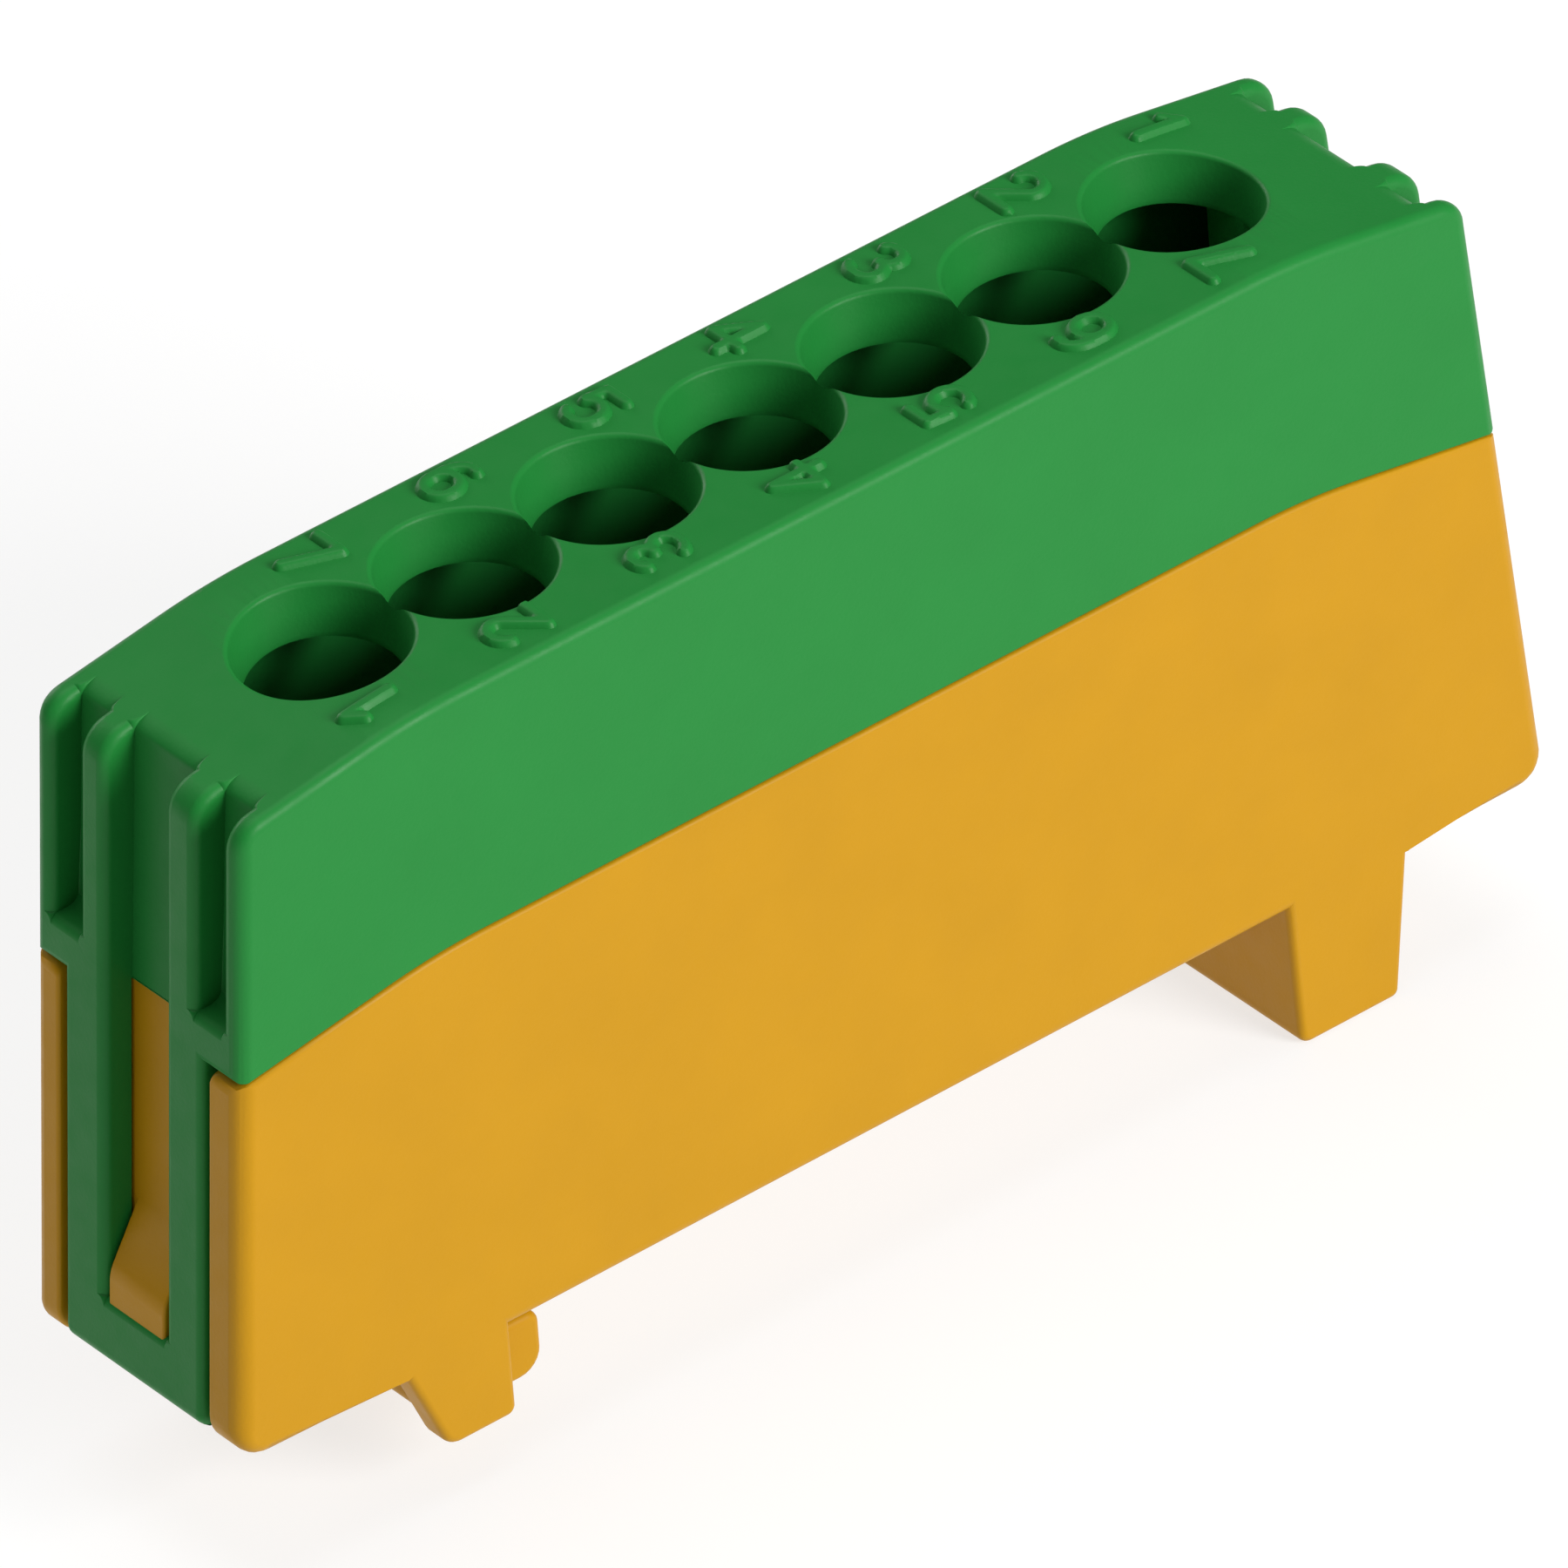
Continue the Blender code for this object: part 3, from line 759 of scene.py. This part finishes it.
def figure_limits(first):
    """Keeps the figures clear of the rims of every second hole."""
    def build(mesh):
        for x in WAY_X[first::2]:
            radius = RIM_RADIUS + 0.25
            turned(mesh, [(radius, HEIGHT - 4.0), (radius, HEIGHT + 2.0)], (x, HOLE_SHIFT), 90)
    return build


def make_cap():
    cap = temporary(cap_body)
    round_edges(cap, cap_rule)
    tongues = temporary(cap_tongues)
    round_edges(tongues, tongue_rule)
    flutes = temporary(cap_flutes)
    round_edges(flutes, floor_rule)
    recess = temporary(cap_recess)
    round_edges(recess, floor_rule)
    combine(cap, "UNION", tongues)
    combine(cap, "DIFFERENCE", cap_cavity, cap_slots, recess, flutes)
    for y in (SLOT_HALF, FLUTE_OUTER):
        foot = SLOT_FOOT if y == SLOT_HALF else FLUTE_FOOT
        shift = SLOT_SHIFT if y == SLOT_HALF else 0.0
        combine(cap, "DIFFERENCE", cap_edges(shift + y, 1, foot), cap_edges(shift - y, -1, foot))
    combine(cap, "DIFFERENCE", cap_edges(FLUTE_INNER, -1, FLUTE_FOOT), cap_edges(-FLUTE_INNER, 1, FLUTE_FOOT))
    top = crown_line(HEIGHT, TOP_KNEE)
    turn = (half_length(0.0), 0.0), top[0], top[1], END_ROUND, TOP_LEAN
    combine(cap, "DIFFERENCE", corner_edges(SEAM_HEIGHT - 3.0, turn, CAP_CORNER, CAP_HALF_DEPTH))
    combine(cap, "UNION", cap_hold_downs)
    combine(cap, "DIFFERENCE", holes(0), holes(1))
    raised = temporary(figures)
    combine(raised, "DIFFERENCE", figure_limits(0), figure_limits(1))
    combine(cap, "UNION", raised)
    return finish_piece(cap, "cap_moulding", "block", GREEN, ("cap",))


# Base


def base_body(mesh):
    corners = [(x, z, 0.0) for x, z in crown_line(SEAM_HEIGHT, SEAM_KNEE)]
    corners += [(-HALF_LENGTH, 0.0, END_ROUND), (HALF_LENGTH, 0.0, END_ROUND)]
    prism(mesh, rounded(corners, 8), -HALF_DEPTH, HALF_DEPTH)


def base_feet(mesh):
    post = rounded([
        (-22.5, FOOT_ROOT, 0),
        (-22.2, 0.0, 0.5),
        (-20.65, POST_FOOT, 0.8),
        (-RAIL_SIDE, POST_FOOT, 0.4),
        (-RAIL_SIDE, FOOT_ROOT, 0),
    ])
    prism(mesh, post, -HALF_DEPTH, -POST_INNER)
    prism(mesh, post, POST_INNER, HALF_DEPTH)
    foot = rounded([
        (RAIL_SIDE, FOOT_ROOT, 0),
        (17.83, RIGHT_FOOT, 0.5),
        (22.35, RIGHT_FOOT, 0.35),
        (23.1, 0.0, 0.5),
        (23.4, FOOT_ROOT, 0),
    ])
    prism(mesh, foot, -HALF_DEPTH, HALF_DEPTH)


def base_lip(mesh):
    root, tip = 18.1, 16.33
    lip = rounded([(root, FLANGE_GAP, 0), (tip, FLANGE_GAP, 0.15), (tip, -1.95, 0.25), (root, -3.35, 0)])
    prism(mesh, lip, -LIP_HALF, LIP_HALF)


def base_bays(mesh):
    for side in (-1, 1):
        prism(mesh, end_band(side, -FLUTE, END_RECESS, -FLUTE, SEAM_HEIGHT + 3.5), BAY_NEAR, BAY_FAR)


def base_cavity(mesh):
    past = 30.0
    foot = half_length(BASE_FLOOR) - BASE_END_WALL
    top = half_length(past) - BASE_END_WALL
    outline = [(-foot, BASE_FLOOR), (foot, BASE_FLOOR), (top, past), (-top, past)]
    prism(mesh, outline, -BASE_CAVITY_HALF, BASE_CAVITY_HALF)


def base_spigot(mesh):
    """A wall that rises inside the cap."""
    height = SEAM_HEIGHT + SPIGOT_RISE
    right = [(SPIGOT_END, 12.0), (SPIGOT_END, crown(SPIGOT_END, height, SEAM_KNEE))]
    line = crown_line(height, SEAM_KNEE)[1:-1]
    prism(mesh, right + line + [(-x, z) for x, z in reversed(right)], -SPIGOT_HALF, SPIGOT_HALF)


def base_wedges(mesh):
    """The ramps that show through the slots of the tongues."""
    root = END_RECESS + 0.1
    for side in (-1, 1):
        ramp_outline = [
            (side * (half_length(WEDGE_TOP) - root), WEDGE_TOP, 0),
            (side * (half_length(WEDGE_CREST) - WEDGE_SETBACK), WEDGE_CREST, 1.6),
            (side * (half_length(WEDGE_FOOT) - WEDGE_SETBACK), WEDGE_FOOT, 0.25),
            (side * (half_length(WEDGE_FOOT) - root), WEDGE_FOOT, 0),
        ]
        prism(mesh, rounded(ramp_outline), SLOT_SHIFT - WEDGE_HALF, SLOT_SHIFT + WEDGE_HALF)


def base_ribs(mesh):
    for place in (-2.5, -1, 1, 2.5):
        x = place * PITCH
        block(mesh, (x - 0.5, x + 0.5), (-4.05, 4.05), (0.8, 3.3))
    for side in (-1, 1):
        ends = sorted((side * 22.9, side * 23.9))
        block(mesh, ends, (-4.05, 4.05), (3.6, 10.2))


def base_latch_slot(mesh):
    block(mesh, (-22.8, -17.9), (-2.3, 2.3), (-1.0, 2.6))


def base_reliefs(mesh):
    block(mesh, (-20.7, -14.8), (-4.4, 4.4), (-0.1, 0.4))
    block(mesh, (15.93, 17.62), (-2.6, 2.6), (-0.1, 0.4))


def base_rule(middle, along, convex):
    """Edge radii of the base's outer form."""
    x, y, z = abs(middle.x), abs(middle.y), middle.z
    inset = half_length(z) - x
    seam = crown(x, SEAM_HEIGHT, SEAM_KNEE)
    if z < -0.02:
        if not convex:
            return 0.0
        return SMALL_EDGE if y < 4.0 and x < 17.7 else FOOT_EDGE
    if y > 5.75:
        if abs(z - seam) < 0.05:
            return BASE_SEAM_EDGE
        if z < 0.05 and 17.0 < x < 23.5:
            return 0.0
        return BASE_EDGE
    if z < 0.05 and x < 23.6:
        return 0.0
    if inset < 1.0 and z > seam - 0.05:
        return SEAM_ROUND
    if inset < 1.0:
        return SMALL_EDGE if y < 3.0 else 0.16
    return 0.0


def entry_profile():
    """Half section of a wire entry: a bore with a short lead-in at its mouth."""
    start = HALF_DEPTH - ENTRY_LEAD
    profile = [(ENTRY_RADIUS, 2.8), (ENTRY_RADIUS, start)]
    steps = 5
    for i in range(1, steps + 1):
        a = math.radians(70 * i / steps)
        profile.append((ENTRY_RADIUS + ENTRY_LEAD * (1 - math.cos(a)), start + ENTRY_LEAD * math.sin(a)))
    end = profile[-1]
    profile.append((end[0] + 0.3, end[1] + 0.12))
    return profile


def base_entries(first):
    """Every second wire entry, turned about Y."""
    turns = [2 * math.pi * i / ENTRY_SIDES for i in range(ENTRY_SIDES)]

    def build(mesh):
        for way in WAY_X[first::2]:
            rings = []
            for radius, y in entry_profile():
                ring = [(way + radius * math.cos(a), y, WIRE_HEIGHT + radius * math.sin(a)) for a in turns]
                rings.append([mesh.verts.new(point) for point in ring])
            mesh.faces.new(rings[0])
            mesh.faces.new(rings[-1][::-1])
            for low, high in zip(rings, rings[1:]):
                for i in range(ENTRY_SIDES):
                    j = (i + 1) % ENTRY_SIDES
                    mesh.faces.new((low[j], low[i], high[i], high[j]))

    return build


def make_base():
    base = temporary(base_body)
    combine(base, "UNION", base_feet, base_lip)
    combine(base, "DIFFERENCE", base_bays, base_reliefs)
    combine(base, "UNION", base_wedges)
    round_edges(base, base_rule)
    turn = (half_length(9.0), 9.0), (HALF_LENGTH, 0.0), (9.0, 0.0), END_ROUND, -math.pi / 2
    combine(base, "DIFFERENCE", corner_edges(SEAM_HEIGHT + 1.0, turn, BASE_CORNER, HALF_DEPTH))
    combine(base, "UNION", base_spigot)
    combine(base, "DIFFERENCE", base_cavity)
    combine(base, "UNION", base_ribs)
    combine(base, "DIFFERENCE", base_entries(0), base_entries(1), base_latch_slot)
    return finish_piece(base, "base_moulding", "block", YELLOW, ("base",))


# Rail latch


def latch_hook(mesh):
    outline = rounded([
        (-20.2, -0.3, 0.15),
        (-20.2, LATCH_FOOT, 0.7),
        (-15.2, LATCH_FOOT, 1.0),
        (-15.2, FLANGE_GAP, 0.55),
        (-17.93, FLANGE_GAP, 0),
        (-17.93, -0.3, 0.15),
    ])
    prism(mesh, outline, -LATCH_HALF, LATCH_HALF)


def latch_guide(mesh):
    block(mesh, (-19.9, -18.2), (-2.0, 2.0), (-1.0, 2.6))


def latch_plate(mesh):
    block(mesh, (-20.9, -17.2), (-3.0, 3.0), (1.9, 3.3))


def latch_rule(middle, along, convex):
    """Edge radii of the nose: its two ends more than the rest."""
    if not convex:
        return 0.0
    return 0.3 if abs(middle.y) > 4.1 else 0.15


def make_latch():
    latch = temporary(latch_hook)
    round_edges(latch, latch_rule)
    combine(latch, "UNION", latch_guide, latch_plate)
    return finish_piece(latch, "latch_moulding", "latch", YELLOW, ("rail_latch",))


# Metal parts keep their CAD shapes


def dress(name, material):
    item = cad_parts[name]
    for slot in item.material_slots:
        slot.material = material


def make_metal():
    dress("busbar", BRASS)
    for number in range(1, WAYS + 1):
        dress(f"clamp_pad_{number}", NICKEL)
        dress(f"clamp_screw_{number}", ZINC)


# Studio


def make_floor():
    low = CAD_BOX[0].z
    work = bmesh.new()
    bmesh.ops.create_grid(work, x_segments=1, y_segments=1, size=3.0)
    mesh = bpy.data.meshes.new("floor")
    work.to_mesh(mesh)
    work.free()
    floor = bpy.data.objects.new("floor", mesh)
    floor.location.z = low - 0.00002
    bpy.context.scene.collection.objects.link(floor)
    material = bpy.data.materials.new("floor_paper")
    material.use_nodes = True
    shader = material.node_tree.nodes["Principled BSDF"]
    shader.inputs["Base Color"].default_value = (0.3, 0.3, 0.3, 1.0)
    shader.inputs["Emission Color"].default_value = (1.0, 1.0, 1.0, 1.0)
    shader.inputs["Emission Strength"].default_value = 0.72
    shader.inputs["Roughness"].default_value = 0.9
    shader.inputs["Specular IOR Level"].default_value = 0.0
    mesh.materials.append(material)


def make_light(name, place, size, power, target=(0.0, 0.0, 0.012)):
    data = bpy.data.lights.new(name, "AREA")
    data.shape = "DISK"
    data.size = size
    data.energy = power
    lamp = bpy.data.objects.new(name, data)
    lamp.location = place
    lamp.rotation_mode = "QUATERNION"
    lamp.rotation_quaternion = (Vector(target) - Vector(place)).to_track_quat("-Z", "Y")
    bpy.context.scene.collection.objects.link(lamp)


def make_lights():
    make_light("key", (0.22, -0.67, 0.34), 0.4, 6.7)
    make_light("top", (0.05, 0.1, 0.7), 0.6, 2.4)
    make_light("fill", (0.0, 0.7, 0.25), 0.5, 1.7)
    world = bpy.data.worlds.new("studio")
    bpy.context.scene.world = world
    world.use_nodes = True
    background = world.node_tree.nodes["Background"]
    background.inputs["Color"].default_value = (1.0, 1.0, 1.0, 1.0)
    background.inputs["Strength"].default_value = 0.12


AZIMUTH = math.radians(-36.757)
ELEVATION = math.radians(35.516)
ROLL = math.radians(-4.136)
DISTANCE = 1.0671
LENS = 702.2
TARGET = Vector((0.000149, 0.0, 0.011305))


def make_camera():
    back = Vector((
        math.sin(AZIMUTH) * math.cos(ELEVATION),
        -math.cos(AZIMUTH) * math.cos(ELEVATION),
        math.sin(ELEVATION),
    ))
    level = Vector((0.0, 0.0, 1.0)).cross(back).normalized()
    upright = back.cross(level)
    right = level * math.cos(ROLL) + upright * math.sin(ROLL)
    up = upright * math.cos(ROLL) - level * math.sin(ROLL)
    data = bpy.data.cameras.new("camera")
    data.lens = LENS
    data.sensor_width = 36.0
    data.clip_start = 0.01
    data.clip_end = 20.0
    camera = bpy.data.objects.new("camera", data)
    turn = Matrix((right, up, back)).transposed()
    camera.matrix_world = Matrix.Translation(TARGET + back * DISTANCE) @ turn.to_4x4()
    bpy.context.scene.collection.objects.link(camera)
    bpy.context.scene.camera = camera


make_cap()
make_base()
make_latch()
make_metal()
make_floor()
make_lights()
make_camera()
bpy.context.scene.view_settings.view_transform = "Standard"
